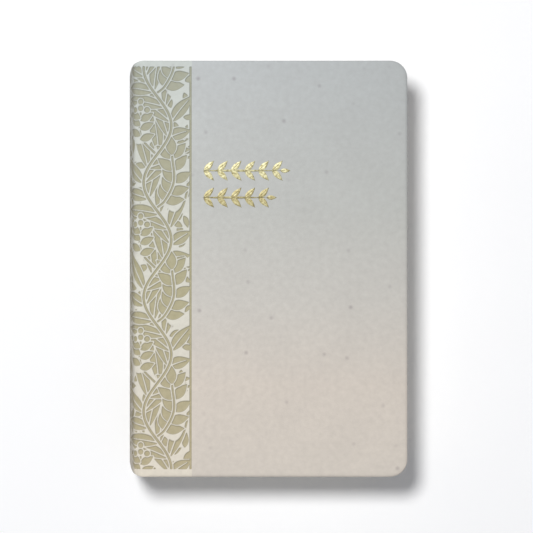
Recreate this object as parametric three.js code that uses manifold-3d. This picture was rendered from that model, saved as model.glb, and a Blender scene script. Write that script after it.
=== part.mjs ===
// A flexible-cover bible, lying closed on its back cover with the spine on the left (-X).
// Millimetres, +Z up, +Y towards the head of the book. The origin is the middle of the base.
// The case is a soft skin turned in over thin boards. The text block is sixteen sewn sections
// on a rounded backbone, with a hollow between the backbone and the spine of the case.
import * as THREE from "three";
import { mergeVertices } from "three/addons/utils/BufferGeometryUtils.js";
import Module from "manifold-3d";

const wasm = await Module();
wasm.setup();

// ---- Driving dimensions -------------------------------------------------------------------
const COVER_HEIGHT = 240; // head to tail
const COVER_WIDTH = 161; // outermost point of the spine to the fore edge
const COVER_CORNER = 10; // corner radius at the fore edge
const SQUARE = 4; // how far the cover stands past the pages on three sides

const SKIN = 0.8; // soft cover material
const BOARD = 0.7; // flexible board inside it
const TURN_IN = 0.4; // skin pared thin where it folds over the board's edge
const TURN_IN_WIDTH = 13;
const TURN_IN_SHOWING = 4.5; // strip of turn-in outside the pastedown
const PASTEDOWN = 0.2;
const FLYLEAF = 0.2;
const GLUE = 0.05; // space between glued layers
const CLEAR = 0.1; // space between layers that move past each other

const SECTIONS_EACH_HALF = 8;
const SECTION = 2.35; // thickness of one sewn section
const FOLD_FLAT = 0.15; // straight part of a section's fold, between its rounded edges
const LEAF = 0.15; // loose leaf at the middle opening
const LEAF_MARGIN = 2.2; // how far in front of the folds a single leaf begins

const SHOULDER_RADIUS = 6; // where the covers turn down into the spine
const SPINE_TILT = 17; // degrees that the spine leans in at each shoulder
const SPINE_SHORT = 2; // how much shorter the spine is than the covers, at each end
const JOINT_FLAT = 1.1; // flat part of the flexible joint, next to the cover
const HOLLOW = 1; // free space between the spine of the case and the backbone
const SPINE_LINING = 0.3;
const LINING_SHORT = 4; // how far the lining stops short of the pages' ends
const MULL = 0.25;
const MULL_SHORT = 12;
const THREAD = 0.6;
const THREAD_STATIONS = 5;
const THREAD_MARGIN = 20; // from the pages' ends to the first sewing station

const HEADBAND_DEPTH = 1.4; // how far a headband stands past the pages
const HEADBAND_WIDTH = 3.2; // how far it reaches over the folds

const FOIL = 0.08;
const FOIL_LIFT = 0.02;
const ORNAMENT_X = 43; // left end, from the outermost spine
const ORNAMENT_BELOW_HEAD = 63.5; // from the head of the cover to the upper sprig's stem
const ORNAMENT_SPACING = 15.5; // between the two stems
const ORNAMENT_PITCH = 7.9; // from one pair of leaves to the next
const ORNAMENT_HALF = 5.2; // half the height of a sprig
const STEM_HALF = 0.35;

// ---- The stack, from the table up ---------------------------------------------------------
const PITCH = SECTION + CLEAR;
const COVER = SKIN + BOARD + TURN_IN + PASTEDOWN + 3 * GLUE;
const Z_BACK_FLYLEAF = COVER + CLEAR;
const Z_REAR = Z_BACK_FLYLEAF + FLYLEAF + CLEAR; // first section
const Z_BACK_LEAF = Z_REAR + SECTIONS_EACH_HALF * PITCH;
const MIDDLE = Z_BACK_LEAF + LEAF + CLEAR / 2; // where the book opens
const THICKNESS = 2 * MIDDLE;

// ---- The rounded spine --------------------------------------------------------------------
const TILT = THREE.MathUtils.degToRad(SPINE_TILT);
const SPINE_RADIUS = (MIDDLE - SHOULDER_RADIUS * (1 - Math.sin(TILT))) / Math.sin(TILT);
const SHOULDER_X = SPINE_RADIUS * (1 - Math.cos(TILT)) + SHOULDER_RADIUS * Math.cos(TILT);
const HINGE_LINE = SHOULDER_X + JOINT_FLAT; // where the covers' boards begin

const LINING_DEPTH = SKIN + GLUE + BOARD + HOLLOW;
const MULL_DEPTH = LINING_DEPTH + SPINE_LINING + CLEAR;
const THREAD_DEPTH = MULL_DEPTH + MULL + CLEAR;
const FOLD_DEPTH = THREAD_DEPTH + THREAD + CLEAR;

// How far from the outermost spine a layer lies that is `depth` inside it, at height z.
const spineX = (depth, z) =>
  SPINE_RADIUS - Math.sqrt((SPINE_RADIUS - depth) ** 2 - (z - MIDDLE) ** 2);

const PAGE_HEIGHT = COVER_HEIGHT - 2 * SQUARE;
const PAGE_WIDTH = COVER_WIDTH - SQUARE - spineX(FOLD_DEPTH, Z_BACK_FLYLEAF);
const PAGE_CORNER = COVER_CORNER - SQUARE;
const SPINE_HEIGHT = COVER_HEIGHT - 2 * SPINE_SHORT;

// ---- Materials ----------------------------------------------------------------------------
const finish = (color, roughness, metalness = 0) =>
  new THREE.MeshStandardMaterial({ color, roughness, metalness });
const coverSkin = finish(0xd8d2c6, 0.6);
const card = finish(0xb8b0a0, 0.9);
const endpaper = finish(0xf1ede2, 0.85);
const paper = finish(0xf4efe2, 0.9);
const gold = finish(0xd9b65c, 0.3, 1);
const cloth = finish(0xe9e2cd, 0.8);

// ---- Building blocks ----------------------------------------------------------------------
const book = new THREE.Group();
book.position.x = -COVER_WIDTH / 2; // x below is measured from the outermost spine

function place(name, geometry, material) {
  const mesh = new THREE.Mesh(geometry, material);
  mesh.name = name;
  book.add(mesh);
  return mesh;
}

// A piece made for the back half, turned over to lie at the same place in the front half.
const turnOver = (geometry) => geometry.rotateX(Math.PI).translate(0, 0, THICKNESS);

// A closed geometry as a solid that can be cut and joined.
function solid(geometry) {
  const bare = geometry.index ? geometry.toNonIndexed() : geometry.clone();
  bare.deleteAttribute("normal");
  bare.deleteAttribute("uv");
  const merged = mergeVertices(bare, 1e-4);
  return new wasm.Manifold(
    new wasm.Mesh({
      numProp: 3,
      vertProperties: merged.attributes.position.array,
      triVerts: new Uint32Array(merged.index.array),
    }),
  );
}

function geometryOf(made) {
  const mesh = made.getMesh();
  const geometry = new THREE.BufferGeometry();
  geometry.setAttribute("position", new THREE.BufferAttribute(mesh.vertProperties, 3));
  geometry.setIndex(new THREE.BufferAttribute(mesh.triVerts, 1));
  const flat = geometry.toNonIndexed();
  flat.computeVertexNormals();
  return flat;
}

// A leaf-shaped outline: square at the spine side, rounded at the fore edge.
function leafOutline(left, right, height, corner) {
  const half = height / 2;
  const shape = new THREE.Shape();
  shape.moveTo(left, -half);
  shape.lineTo(right - corner, -half);
  shape.absarc(right - corner, -half + corner, corner, -Math.PI / 2, 0);
  shape.absarc(right - corner, half - corner, corner, 0, Math.PI / 2);
  shape.lineTo(left, half);
  shape.closePath();
  return shape;
}

function slab(shape, z, thickness) {
  const geometry = new THREE.ExtrudeGeometry(shape, {
    depth: thickness,
    bevelEnabled: false,
    curveSegments: 10,
  });
  return geometry.translate(0, 0, z);
}

// A cross-section in X and Z, carried along Y for `length` and centred on y = 0.
function barAlongY(section, length, curveSegments = 12) {
  const geometry = new THREE.ExtrudeGeometry(section, {
    depth: length,
    bevelEnabled: false,
    curveSegments,
  });
  return geometry.rotateX(Math.PI / 2).translate(0, length / 2, 0);
}

// A layer `depth` inside the rounded spine, from one angle to another about the spine's centre.
function spineBand(depth, thickness, reach) {
  const outer = SPINE_RADIUS - depth;
  const shape = new THREE.Shape();
  shape.absarc(SPINE_RADIUS, MIDDLE, outer, Math.PI - reach, Math.PI + reach, false);
  shape.absarc(SPINE_RADIUS, MIDDLE, outer - thickness, Math.PI + reach, Math.PI - reach, true);
  shape.closePath();
  return shape;
}

// ---- Covers -------------------------------------------------------------------------------
// A cover is made with its outer face at z = 0 and its inside up.
function cover(side, finishPiece) {
  const left = HINGE_LINE + SKIN;
  const right = COVER_WIDTH - SKIN;
  const height = COVER_HEIGHT - 2 * SKIN;
  const corner = COVER_CORNER - SKIN;
  const windowCorner = Math.max(COVER_CORNER - TURN_IN_WIDTH, 1);
  const whole = slab(
    leafOutline(HINGE_LINE, COVER_WIDTH, COVER_HEIGHT, COVER_CORNER),
    0,
    COVER - PASTEDOWN - GLUE,
  );
  const pocket = slab(
    leafOutline(left - GLUE, right + GLUE, height + 2 * GLUE, corner),
    SKIN,
    BOARD + 2 * GLUE,
  );
  const opening = slab(
    leafOutline(
      left,
      COVER_WIDTH - TURN_IN_WIDTH,
      COVER_HEIGHT - 2 * TURN_IN_WIDTH,
      windowCorner,
    ),
    SKIN,
    COVER,
  );
  const skin = geometryOf(solid(whole).subtract(solid(pocket)).subtract(solid(opening)));
  const board = slab(leafOutline(left, right, height, corner), SKIN + GLUE, BOARD);
  const pastedown = slab(
    leafOutline(
      left,
      COVER_WIDTH - TURN_IN_SHOWING,
      COVER_HEIGHT - 2 * TURN_IN_SHOWING,
      COVER_CORNER - TURN_IN_SHOWING,
    ),
    COVER - PASTEDOWN,
    PASTEDOWN,
  );
  place(side + "_skin", finishPiece(skin), coverSkin);
  place(side + "_board", finishPiece(board), card);
  place(side + "_pastedown", finishPiece(pastedown), endpaper);
}
const asMade = (geometry) => geometry;
cover("back", asMade);
cover("front", turnOver);

// ---- Spine of the case and its two flexible joints ----------------------------------------
place("spine_skin", barAlongY(spineBand(0, SKIN, TILT), SPINE_HEIGHT), coverSkin);
const linerHeight = SPINE_HEIGHT - 2 * TURN_IN_WIDTH;
place("spine_liner", barAlongY(spineBand(SKIN + GLUE, BOARD, TILT), linerHeight), card);

// The joint goes round the shoulder, from the end of the spine to the edge of the cover.
function joint(name, finishPiece) {
  const start = Math.PI + TILT + GLUE / SHOULDER_RADIUS;
  const end = 1.5 * Math.PI;
  const section = new THREE.Shape();
  section.absarc(SHOULDER_X, SHOULDER_RADIUS, SHOULDER_RADIUS, start, end, false);
  section.lineTo(HINGE_LINE - GLUE, 0);
  section.lineTo(HINGE_LINE - GLUE, SKIN);
  section.lineTo(SHOULDER_X, SKIN);
  section.absarc(SHOULDER_X, SHOULDER_RADIUS, SHOULDER_RADIUS - SKIN, end, start, true);
  section.closePath();
  place(name, finishPiece(barAlongY(section, COVER_HEIGHT - SPINE_SHORT)), coverSkin);
}
joint("back_joint_strip", asMade);
joint("front_joint_strip", turnOver);

// ---- Text block ---------------------------------------------------------------------------
// One sewn section. The fold at its back is rounded, with its own radius at each edge.
function section(name, z, lowerRadius, upperRadius) {
  const back = spineX(FOLD_DEPTH, z + SECTION / 2);
  const side = new THREE.Shape();
  side.moveTo(back + lowerRadius, z);
  side.lineTo(back + PAGE_WIDTH, z);
  side.lineTo(back + PAGE_WIDTH, z + SECTION);
  side.lineTo(back + upperRadius, z + SECTION);
  const upperZ = z + SECTION - upperRadius;
  side.absarc(back + upperRadius, upperZ, upperRadius, Math.PI / 2, Math.PI, false);
  side.absarc(back + lowerRadius, z + lowerRadius, lowerRadius, Math.PI, 1.5 * Math.PI, false);
  side.closePath();
  const folded = solid(barAlongY(side, PAGE_HEIGHT + 2, 6));
  const plan = leafOutline(back - 1, back + PAGE_WIDTH, PAGE_HEIGHT, PAGE_CORNER);
  place(name, geometryOf(folded.intersect(solid(slab(plan, z - 1, SECTION + 2)))), paper);
}

// The two middle sections fall away into the gutter over their whole thickness.
const evenFold = (SECTION - FOLD_FLAT) / 2;
const gutterFold = SECTION - FOLD_FLAT;
const sectionName = (number) => "section_" + String(number).padStart(2, "0");
for (let i = 1; i <= SECTIONS_EACH_HALF; i++) {
  const nextToMiddle = i === SECTIONS_EACH_HALF;
  const outwards = nextToMiddle ? FOLD_FLAT / 2 : evenFold;
  const inwards = nextToMiddle ? gutterFold : evenFold;
  const z = Z_REAR + (i - 1) * PITCH;
  const mirrored = 2 * SECTIONS_EACH_HALF + 1 - i;
  section(sectionName(i), z, outwards, inwards);
  section(sectionName(mirrored), THICKNESS - z - SECTION, inwards, outwards);
}

// Flyleaves and the loose leaves at the middle opening are flat sheets.
function leaf(name, z, thickness, material) {
  const back = spineX(FOLD_DEPTH, z);
  const right = back + PAGE_WIDTH;
  const outline = leafOutline(back + LEAF_MARGIN, right, PAGE_HEIGHT, PAGE_CORNER);
  place(name, slab(outline, z, thickness), material);
}
leaf("back_flyleaf", Z_BACK_FLYLEAF, FLYLEAF, endpaper);
leaf("front_flyleaf", THICKNESS - Z_BACK_FLYLEAF - FLYLEAF, FLYLEAF, endpaper);
leaf("middle_leaf_back", Z_BACK_LEAF, LEAF, paper);
leaf("middle_leaf_front", THICKNESS - Z_BACK_LEAF - LEAF, LEAF, paper);

// ---- What holds the sections together at the back -----------------------------------------
// A layer that follows the backbone from the first section to the last.
function backboneBar(depth, thickness, length) {
  const reach = Math.asin((MIDDLE - Z_REAR) / (SPINE_RADIUS - depth));
  return barAlongY(spineBand(depth, thickness, reach), length);
}
place("spine_lining", backboneBar(LINING_DEPTH, SPINE_LINING, PAGE_HEIGHT - 2 * LINING_SHORT), card);
place("mull", backboneBar(MULL_DEPTH, MULL, PAGE_HEIGHT - 2 * MULL_SHORT), cloth);
for (let k = 0; k < THREAD_STATIONS; k++) {
  const y = (k / (THREAD_STATIONS - 1) - 0.5) * (PAGE_HEIGHT - 2 * THREAD_MARGIN);
  const thread = backboneBar(THREAD_DEPTH, THREAD, THREAD);
  place("sewing_thread_" + (k + 1), thread.translate(0, y, 0), cloth);
}

// A headband at each end of the backbone covers the folds' ends.
function headband(name, direction) {
  const y = direction * (PAGE_HEIGHT / 2 + CLEAR + HEADBAND_DEPTH / 2);
  place(name, backboneBar(MULL_DEPTH, HEADBAND_WIDTH, HEADBAND_DEPTH).translate(0, y, 0), cloth);
}
headband("headband", 1);
headband("tailband", -1);

// ---- Foil ornament ------------------------------------------------------------------------
// Two stamped sprigs. A sprig is a stem with pairs of leaves, drawn as one closed outline:
// out along the lower leaves to the stem's tip, and back along the upper ones.
function sprig(name, y, pairs) {
  const shape = new THREE.Shape();
  const leafRoot = (k) => k * ORNAMENT_PITCH + 1;
  shape.moveTo(0, -STEM_HALF);
  for (let k = 0; k < pairs; k++) {
    const root = leafRoot(k);
    const tip = root + ORNAMENT_PITCH * 0.75;
    shape.lineTo(root, -STEM_HALF);
    shape.quadraticCurveTo(root + 0.5, -ORNAMENT_HALF * 0.8, tip, -ORNAMENT_HALF);
    shape.quadraticCurveTo(tip + 0.2, -ORNAMENT_HALF * 0.35, root + 2, -STEM_HALF);
  }
  shape.lineTo((pairs + 0.5) * ORNAMENT_PITCH, 0);
  for (let k = pairs - 1; k >= 0; k--) {
    const root = leafRoot(k);
    const tip = root + ORNAMENT_PITCH * 0.75;
    shape.lineTo(root + 2, STEM_HALF);
    shape.quadraticCurveTo(tip + 0.2, ORNAMENT_HALF * 0.35, tip, ORNAMENT_HALF);
    shape.quadraticCurveTo(root + 0.5, ORNAMENT_HALF * 0.8, root, STEM_HALF);
  }
  shape.lineTo(0, STEM_HALF);
  shape.closePath();
  place(name, slab(shape, THICKNESS + FOIL_LIFT, FOIL).translate(ORNAMENT_X, y, 0), gold);
}
const upperStemY = COVER_HEIGHT / 2 - ORNAMENT_BELOW_HEAD;
sprig("foil_sprig_upper", upperStemY, 6);
sprig("foil_sprig_lower", upperStemY - ORNAMENT_SPACING, 5);

export default book;
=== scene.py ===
# %% [markdown]
# # A limp bible with an embossed leaf band
#
# The book lies closed on its back cover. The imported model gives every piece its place, its size
# and its joints. This script gives the pieces their real surfaces: a soft skin with a pressed
# botanical band that runs round the spine, gold foil, thin paper edges and sewn headbands.
# Everything is in metres, with the head of the book at +Y and the spine at -X.

# %% Load the frame
import math

import bpy
import numpy as np
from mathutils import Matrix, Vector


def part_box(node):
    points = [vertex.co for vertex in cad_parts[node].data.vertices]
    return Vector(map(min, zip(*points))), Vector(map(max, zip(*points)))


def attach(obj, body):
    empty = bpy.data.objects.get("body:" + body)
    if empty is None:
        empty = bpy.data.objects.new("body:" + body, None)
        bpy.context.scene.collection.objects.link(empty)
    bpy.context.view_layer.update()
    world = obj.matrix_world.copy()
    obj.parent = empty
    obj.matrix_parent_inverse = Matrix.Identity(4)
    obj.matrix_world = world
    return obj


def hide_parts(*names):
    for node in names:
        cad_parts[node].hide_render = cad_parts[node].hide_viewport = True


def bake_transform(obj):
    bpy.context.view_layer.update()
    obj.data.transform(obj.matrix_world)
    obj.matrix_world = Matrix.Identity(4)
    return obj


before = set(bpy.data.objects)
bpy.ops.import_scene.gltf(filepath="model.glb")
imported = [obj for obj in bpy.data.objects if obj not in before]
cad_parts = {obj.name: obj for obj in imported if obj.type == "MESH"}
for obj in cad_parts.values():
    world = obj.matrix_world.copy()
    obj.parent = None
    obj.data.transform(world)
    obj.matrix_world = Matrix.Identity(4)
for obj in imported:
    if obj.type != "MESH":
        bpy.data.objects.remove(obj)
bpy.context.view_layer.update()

MM = 0.001

# %% [markdown]
# ## Sizes
#
# The frame's boxes give the outline, the stack and the hinge line. The spine is one long arc with
# a tighter shoulder arc at each end, so two more values describe it: the shoulder's radius and the
# angle at which the long arc leans in where it meets the shoulder.

# %% Driving sizes
skin_low, skin_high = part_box("front_skin")
spine_low, spine_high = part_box("spine_skin")
THICKNESS = skin_high.z
MIDDLE = THICKNESS / 2
SPINE_X = spine_low.x  # the outermost plane of the spine
HINGE_X = skin_low.x  # where the stiff part of a cover begins
FORE_X = skin_high.x
HALF_HEIGHT = skin_high.y
HALF_SPINE = spine_high.y
PLATE = skin_high.z - skin_low.z  # skin, board and turn-in together
SKIN = 0.8 * MM
CORNER = 10 * MM
SHOULDER = 6 * MM
TILT = math.radians(17)
LONG_RADIUS = (MIDDLE - SHOULDER * (1 - math.sin(TILT))) / math.sin(TILT)
SHOULDER_X = SPINE_X + LONG_RADIUS * (1 - math.cos(TILT)) + SHOULDER * math.cos(TILT)
SPINE_REACH = LONG_RADIUS * TILT  # along the surface, from mid-spine to the shoulder
FLAT_REACH = SPINE_REACH + SHOULDER * (math.pi / 2 - TILT)  # to where the cover lies flat
HINGE_REACH = FLAT_REACH + HINGE_X - SHOULDER_X
print("mid-spine to hinge line, along the surface:", round(HINGE_REACH / MM, 2), "mm")

# %% [markdown]
# ## Camera, light and floor
#
# The book is seen from straight above with a long lens, so that its sides hide behind the front
# cover. One soft lamp stands high on the upper left and throws a short shadow to the lower right.
# A pale world fills the shadow. The lamp is a real area lamp and not a sun, because its nearness
# makes the fore edge a little darker than the spine. Painted shade in the cover skin darkens the
# fore edge further, most at the head.

# %% Camera
VIEW_WIDTH = 307.1 * MM  # what the picture spans at the height of the front cover
CAMERA_RISE = 1.6  # m above the front cover
camera_data = bpy.data.cameras.new("camera")
camera_data.sensor_width = 36
camera_data.lens = 36 * CAMERA_RISE / VIEW_WIDTH
camera_data.clip_start = 0.05
camera = bpy.data.objects.new("camera", camera_data)
camera.location = (-0.67 * MM, 1.28 * MM, THICKNESS + CAMERA_RISE)
bpy.context.scene.collection.objects.link(camera)
bpy.context.scene.camera = camera
bpy.context.scene.view_settings.view_transform = "Standard"
print("lens:", round(camera_data.lens), "mm")

# %% Lamp and world
LAMP_OFFSET = (-0.345, 0.475, 1.8)  # m, from the middle of the floor under the book
LAMP_SIZE = 0.46  # m across
LAMP_POWER = 28.8  # W
WORLD_STRENGTH = 0.27
lamp_data = bpy.data.lights.new("key_lamp", "AREA")
lamp_data.shape = "DISK"
lamp_data.size = LAMP_SIZE
lamp_data.energy = LAMP_POWER
lamp = bpy.data.objects.new("key_lamp", lamp_data)
lamp.location = LAMP_OFFSET
lamp.rotation_mode = "QUATERNION"
lamp.rotation_quaternion = lamp.location.to_track_quat("Z", "Y")
bpy.context.scene.collection.objects.link(lamp)

world = bpy.data.worlds.new("pale_room")
world.use_nodes = True
world.node_tree.nodes["Background"].inputs["Color"].default_value = (0.95, 0.97, 1.04, 1)
world.node_tree.nodes["Background"].inputs["Strength"].default_value = WORLD_STRENGTH
bpy.context.scene.world = world


# %% [markdown]
# ## Surfaces from arrays
#
# Most pieces here are thin things with two faces: a shell takes the outer and the inner face as two
# grids of points and closes the rim between them. A stack has further loops up its sides, and a
# tube is a row of rings. Every piece keeps each point's place at rest in an attribute. The
# materials read it, so that a grain stays on the surface when a joint bends the piece.


# %% Closed shells
def new_piece(name, points, faces):
    """A mesh object from an N by 3 array and a list of face arrays; it keeps its place at rest."""
    mesh = bpy.data.meshes.new(name)
    mesh.from_pydata(points.tolist(), [], [face for group in faces for face in group.tolist()])
    mesh.validate()
    attribute = mesh.attributes.new("place", "FLOAT_VECTOR", "POINT")
    attribute.data.foreach_set("vector", points.astype(np.float32).ravel())
    piece = bpy.data.objects.new(name, mesh)
    bpy.context.scene.collection.objects.link(piece)
    return piece


def grid_faces(number):
    """Quads of a grid of point numbers, counterclockwise when rows go up and columns go right."""
    return np.stack(
        [number[:-1, :-1], number[:-1, 1:], number[1:, 1:], number[1:, :-1]], -1
    ).reshape(-1, 4)


def border(grid):
    """The points or numbers round a grid's border, counterclockwise and without a repeat."""
    return np.concatenate([grid[0, :-1], grid[:-1, -1], grid[-1, :0:-1], grid[:0:-1, 0]])


def shell(outer, inner):
    """Points and faces of a solid with an outer grid, an inner grid and the rim between them.

    The inner face may have only every n-th column, and then the rim's faces at the two ends have
    n + 1 points on the outer side and 2 on the inner side.
    """
    top = np.arange(outer.shape[0] * outer.shape[1]).reshape(outer.shape[:2])
    low = top.size + np.arange(inner.shape[0] * inner.shape[1]).reshape(inner.shape[:2])
    n = (top.shape[1] - 1) // (low.shape[1] - 1)
    starts = np.arange(low.shape[1] - 1)
    fans = np.stack([starts * n + k for k in range(n + 1)], -1)
    pairs = np.stack([starts, starts + 1], -1)
    faces = [
        grid_faces(top),
        grid_faces(low)[:, ::-1],
        np.concatenate([top[0][fans[:, ::-1]], low[0][pairs]], 1),
        np.concatenate([top[-1][fans], low[-1][pairs[:, ::-1]]], 1),
        np.stack([top[1:, -1], top[:-1, -1], low[:-1, -1], low[1:, -1]], -1),
        np.stack([top[:-1, 0], top[1:, 0], low[1:, 0], low[:-1, 0]], -1),
    ]
    return np.concatenate([outer.reshape(-1, 3), inner.reshape(-1, 3)]), faces


def closed_stack(name, low, top, loops):
    """A solid from a lower and an upper grid, with further loops of points up its sides."""
    count = low.shape[0] * low.shape[1]
    number = np.arange(count).reshape(low.shape[:2])
    between = 2 * count + np.arange(loops.shape[0] * loops.shape[1]).reshape(loops.shape[:2])
    rings = np.concatenate([border(number)[None], between, border(number + count)[None]])
    after = np.roll(rings, -1, 1)
    sides = np.stack([rings[:-1], after[:-1], after[1:], rings[1:]], -1).reshape(-1, 4)
    points = np.concatenate([low.reshape(-1, 3), top.reshape(-1, 3), loops.reshape(-1, 3)])
    faces = [grid_faces(number)[:, ::-1], grid_faces(number + count), sides]
    return face_outwards(new_piece(name, points, faces))


def closed_tubes(name, tubes):
    """A solid from round tubes, each a grid of rings by points, with a flat face at both ends."""
    points, sides, ends, start = [], [], [], 0
    for tube in tubes:
        rings, around = tube.shape[:2]
        number = start + np.arange(rings * around).reshape(rings, around)
        after = np.roll(number, -1, 1)
        sides.append(
            np.stack([number[:-1], after[:-1], after[1:], number[1:]], -1).reshape(-1, 4)
        )
        ends += [number[:1, ::-1], number[-1:]]
        points.append(tube.reshape(-1, 3))
        start += rings * around
    return face_outwards(new_piece(name, np.concatenate(points), sides + ends))


def face_outwards(piece):
    """Turns the whole mesh round if its signed volume, by the divergence theorem, is negative."""
    mesh = piece.data
    mesh.calc_loop_triangles()
    corners = np.zeros(len(mesh.loop_triangles) * 3, np.int32)
    mesh.loop_triangles.foreach_get("vertices", corners)
    places = np.zeros(len(mesh.vertices) * 3)
    mesh.vertices.foreach_get("co", places)
    a, b, c = places.reshape(-1, 3)[corners.reshape(-1, 3)].transpose(1, 0, 2)
    if np.einsum("ij,ij->i", a, np.cross(b, c)).sum() < 0:
        mesh.flip_normals()
    return piece


def shade(piece, angle=None):
    """Smooth shading, with an edge left sharp where its two faces meet at more than the angle."""
    piece.data.shade_smooth()
    if angle is not None:
        piece.data.set_sharp_from_angle(angle=math.radians(angle))
    return piece


# %% [markdown]
# ## The pressed leaf band
#
# On covers like this a heated brass plate presses leaves into the soft skin and leaves them a flat
# olive, while the strips between them stay high and pale. The same thing is done here in two
# steps. First a flat drawing of the plate is worked out: a fine raster that says, from 0 to 1, how
# far each spot is pressed down. Then the skin's surface is lowered by that drawing, and the same
# number colours it. A drawing made of leaf formulas is easier to change than a sculpted mesh, and
# the relief is real geometry, so it catches the light from any side.
#
# The drawing's first direction is the distance across the unrolled cover, counted so that on the
# flat front it is the distance from the outermost spine. The second is the height on the page.

# %% The empty plate
DOT = 0.12 * MM  # raster step
BAND_EDGE = 36.7 * MM  # right border of the band
BORDER = 1.1 * MM  # width of the pressed line along that border
BAND_HEAD = HALF_HEIGHT - 3.6 * MM
BAND_TAIL = -HALF_HEIGHT + 4.6 * MM
FLAT_START = SHOULDER_X - SPINE_X
MID_SPINE = FLAT_START - FLAT_REACH  # the drawing's first coordinate at mid-spine
HALO = 0.92 * MM  # pale strip kept round a leaf that lies over others
SOFT = 0.32 * MM  # width of a leaf's sloping wall
VEIN = 0.56 * MM  # half width of the pale vein at a leaf's base
BERRY = 1.5 * MM  # radius

across = np.arange(MID_SPINE, BAND_EDGE + DOT, DOT)
along = np.arange(BAND_TAIL, BAND_HEAD + DOT, DOT)
plate = np.zeros((along.size, across.size), np.float32)
print("plate drawing:", plate.shape, "dots")


# %% Leaves, stems and berries
def window(u, v, reach):
    """The slices of the plate within reach of all the points (u, v), and their coordinates."""
    i0, i1 = np.searchsorted(along, (min(v) - reach, max(v) + reach))
    j0, j1 = np.searchsorted(across, (min(u) - reach, max(u) + reach))
    return (slice(i0, i1), slice(j0, j1)), np.meshgrid(across[j0:j1], along[i0:i1])


def smooth_step(t):
    """0 below 0, 1 above 1, and 3 t squared - 2 t cubed between."""
    t = np.clip(t, 0, 1)
    return t * t * (3 - 2 * t)


def rise(distance, width):
    """0 outside, 1 inside, with a smooth slope of that width across the outline."""
    return smooth_step(distance / width + 0.5)


def press(part, inside):
    """Lays a shape over the drawing: clears a pale halo round it, then presses the shape in.

    inside is the distance to the shape's outline, positive inside it.
    """
    plate[part] *= 1 - rise(inside + HALO, SOFT)
    plate[part] = np.maximum(plate[part], rise(inside, SOFT))


def leaf(base, degrees, length, width, bend=0.0, rib=False):
    """A pointed leaf from its base, in mm, towards an angle.

    Its midline drifts sideways by bend * length * t squared, and its half width is
    width / 2 * sin(pi * t ** 0.85), where t runs from 0 at the base to 1 at the tip. A ribbed leaf
    keeps a pale vein along its midline, which narrows towards the tip.
    """
    angle = math.radians(degrees)
    c, s = math.cos(angle), math.sin(angle)
    u0, v0, length, width = base[0] * MM, base[1] * MM, length * MM, width * MM
    tip_u = u0 + length * (c - bend * s)
    tip_v = v0 + length * (s + bend * c)
    part, (u, v) = window((u0, tip_u), (v0, tip_v), width + HALO + abs(bend) * length / 2)
    if not u.size:
        return
    forward = (u - u0) * c + (v - v0) * s
    sideways = (v - v0) * c - (u - u0) * s
    t = forward / length
    inner_t = np.clip(t, 0, 1)
    off = np.abs(sideways - bend * length * inner_t**2)
    slope = np.hypot(1, 2 * bend * inner_t)
    half = width / 2 * np.sin(np.pi * inner_t**0.85)
    past = length * np.maximum(np.maximum(-t, t - 1), 0)
    inside = np.where(past > 0, -np.hypot(past, off), (half - off) / slope)
    press(part, inside)
    if rib:
        vein = VEIN * (1 - 0.5 * inner_t)
        plate[part] *= 1 - rise(vein - off - np.where((t > 0) & (t < 0.82), 0, 1), SOFT)


def curve(points, steps=40):
    """A smooth line through given points: a Catmull-Rom curve, and its direction."""
    p = np.array(points, float) * MM
    p = np.concatenate([2 * p[:1] - p[1:2], p, 2 * p[-1:] - p[-2:-1]])
    t = np.linspace(0, len(p) - 3 - 1e-9, steps)
    k = t.astype(int)
    f = (t - k)[:, None]
    a, b, c, d = p[k], p[k + 1], p[k + 2], p[k + 3]
    place = 0.5 * (2 * b + (c - a) * f + (2 * a - 5 * b + 4 * c - d) * f**2)
    place += 0.5 * (3 * b - a - 3 * c + d) * f**3
    return place, np.gradient(place, axis=0)


def stem(points, width=0.75, steps=40):
    """A pressed line of even width with a pale halo on both sides."""
    place, _ = curve(points, steps)
    half = width * MM / 2
    part, (u, v) = window(place[:, 0], place[:, 1], half + 2 * HALO)
    inside = np.full(u.shape, -1.0)
    for (u0, v0), (u1, v1) in zip(place[:-1], place[1:]):
        du, dv = u1 - u0, v1 - v0
        t = np.clip(((u - u0) * du + (v - v0) * dv) / (du * du + dv * dv), 0, 1)
        inside = np.maximum(inside, half - np.hypot(u - u0 - t * du, v - v0 - t * dv))
    press(part, inside)


def berry(u, v):
    """A round pressed dot."""
    part, (x, y) = window((u * MM,), (v * MM,), BERRY + MM)
    press(part, BERRY - np.hypot(x - u * MM, y - v * MM))


def frond(foot, u, pairs, length, width):
    """An upright stem at u with pairs of ribbed leaflets that leave it at a slant, all in mm.

    The pairs start evenly along the stem, and each leaflet is
    length * (1 - (1.5 * (share - 0.35)) ** 2) long, where share runs from 0 at the foot to 1.
    """
    points = [(u, foot + up) for up in FROND_HEIGHTS]
    place, _ = curve(points, FROND_STEPS)
    for side in (1, -1):
        for share in (np.arange(pairs) + 0.4) / pairs:
            reach = length * (1 - (1.5 * (share - 0.35)) ** 2)
            here = place[int(share * (FROND_STEPS - 1))] / MM
            leaf(here, 90 + side * FROND_LEAN, reach, width, side * 0.2, rib=True)
    stem(points)


def clearing(u, v, long, wide):
    """Wipes an upright ellipse of the drawing, so that what comes next stands on plain ground."""
    part, (x, y) = window((u * MM,), (v * MM,), long * MM)
    outside = np.hypot((x / MM - u) / wide, (y / MM - v) / long) - 1
    plate[part] *= rise(outside, 0.06)


# %% [markdown]
# ### The layout
#
# The layout is a running vine, a common border pattern: one wavy stem with ribbed leaves on both
# sides, and in each hollow of the wave a side shoot, by turns with oval leaves and with berries. A
# wave, a leaf pitch and a few motifs give all of it, so the same shapes return at even steps up the
# band. A seeded scatter of small leaves lies under the vine and fills the gaps.
# Each shape clears a pale halo round itself, so leaves may overlap as closely as they like. The
# spine carries upright stems, and the back cover the front's drawing in mirror image.

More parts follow.
